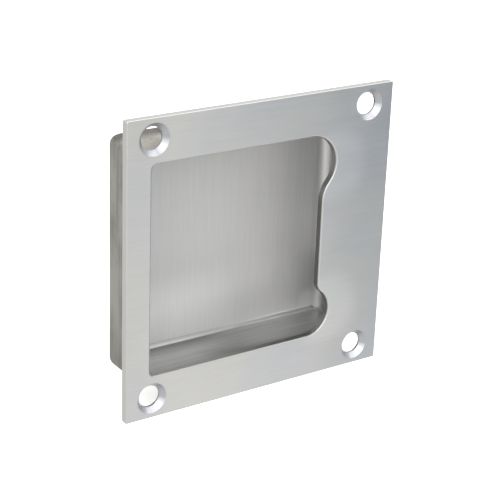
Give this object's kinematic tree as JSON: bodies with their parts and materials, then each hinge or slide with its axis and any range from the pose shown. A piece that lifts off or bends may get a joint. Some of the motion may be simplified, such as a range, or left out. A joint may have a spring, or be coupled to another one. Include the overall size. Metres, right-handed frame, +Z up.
{
  "type": "flush pull",
  "caption": "Square stainless steel flush pull for a sliding door: a flat screw-on face plate with a finger grip tongue over a deep drawn pan.",
  "frame": {"origin": "middle of the face plate's back face, where it bears on the door", "axes": "+X to the right across the face, +Y into the door, +Z up; the face looks toward -Y"},
  "size_m": [0.102, 0.0247, 0.102],
  "materials": {
    "face_plate": "satin, brushed",
    "pan": "satin, drawn sheet"
  },
  "bodies": {
    "root": {"face_plate": "face_plate", "pan": "pan"}
  },
  "joints": []
}
